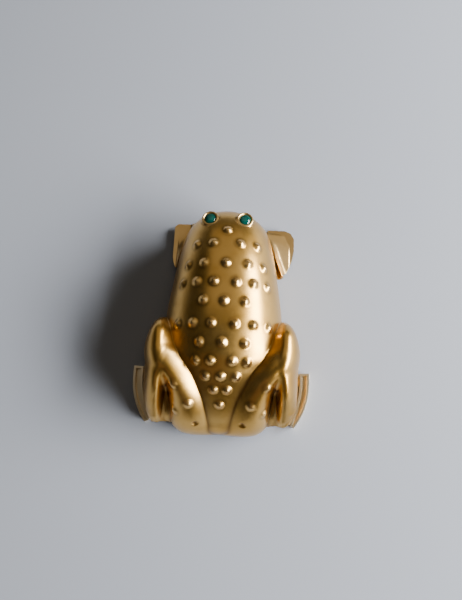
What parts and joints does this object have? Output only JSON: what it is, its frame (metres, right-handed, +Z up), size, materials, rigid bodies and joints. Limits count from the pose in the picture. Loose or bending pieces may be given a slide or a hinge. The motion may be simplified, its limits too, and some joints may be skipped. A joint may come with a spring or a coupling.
{
  "type": "jumping frog toy",
  "caption": "Small clockwork jumping frog of gold-lacquered tin: hollow warty back shell, green glass eyes, tin paws, kicking hind legs and a flat spring motor with a belly key.",
  "frame": {"origin": "on the table, under the middle of the frog's outline", "axes": "+Y the way the frog faces, +X its right side, +Z up"},
  "size_m": [0.0468, 0.0588, 0.0225],
  "materials": {
    "gold_tin": "satin gold lacquer",
    "green_glass": "glossy",
    "brass_sheet": "rolled",
    "bright_steel": "turned",
    "spring_steel": "blued"
  },
  "bodies": {
    "frog_frame": {"back_shell": "gold_tin", "left_eye": "green_glass", "right_eye": "green_glass", "belly_plate": "gold_tin", "front_legs": "gold_tin", "lower_motor_plate": "brass_sheet", "upper_motor_plate": "brass_sheet", "motor_pillars": "bright_steel", "mainspring": "spring_steel", "axle_bracket": "bright_steel"},
    "first_wheel": {"great_wheel": "brass_sheet", "click_stud": "bright_steel", "click_spring": "spring_steel"},
    "pawl": {"click": "bright_steel"},
    "key_and_arbor": {"winding_arbor": "bright_steel", "winding_key": "gold_tin", "ratchet_wheel": "bright_steel"},
    "cam_train": {"cam_arbor": "bright_steel", "snail_cam": "bright_steel", "cam_wheel": "brass_sheet"},
    "governor": {"governor_arbor": "bright_steel", "governor_fly": "brass_sheet"},
    "hind_legs": {"leg_axle": "bright_steel", "left_hind_leg": "gold_tin", "right_hind_leg": "gold_tin", "cam_follower": "bright_steel", "kick_spring": "spring_steel"}
  },
  "joints": [
    {"name": "great_wheel_spin", "type": "hinge", "parent": "frog_frame", "child": "first_wheel", "pos_m": [0, -0.0014, 0.0112], "axis": [0, 0, 1], "range_deg": [0, 60], "deforming": ["mainspring"]},
    {"name": "cam_spin", "type": "hinge", "parent": "frog_frame", "child": "cam_train", "pos_m": [0, -0.011, 0.0129], "axis": [0, 0, 1], "range_deg": [-300, 0]},
    {"name": "governor_spin", "type": "hinge", "parent": "frog_frame", "child": "governor", "pos_m": [0.00867, -0.00947, 0.0096], "axis": [0, 0, 1], "range_deg": [0, 1350]},
    {"name": "leg_kick", "type": "hinge", "parent": "frog_frame", "child": "hind_legs", "pos_m": [0, -0.017, 0.00825], "axis": [-1, 0, 0], "range_deg": [0, 35], "deforming": ["kick_spring"]},
    {"name": "key_winding", "type": "hinge", "parent": "first_wheel", "child": "key_and_arbor", "pos_m": [0, -0.0014, 0.003], "axis": [0, 0, 1], "range_deg": [0, 1440], "deforming": ["mainspring"]},
    {"name": "click_lift", "type": "hinge", "parent": "first_wheel", "child": "pawl", "pos_m": [0.00514, 0.00027, 0.012], "axis": [0, 0, -1], "range_deg": [0, 8], "deforming": ["click_spring"]}
  ],
  "couplings": [
    {"joint": "cam_spin", "follows": "great_wheel_spin", "ratio": -5},
    {"joint": "governor_spin", "follows": "great_wheel_spin", "ratio": 22.5},
    {"joint": "leg_kick", "follows": "great_wheel_spin", "ratio": 0.58333}
  ]
}
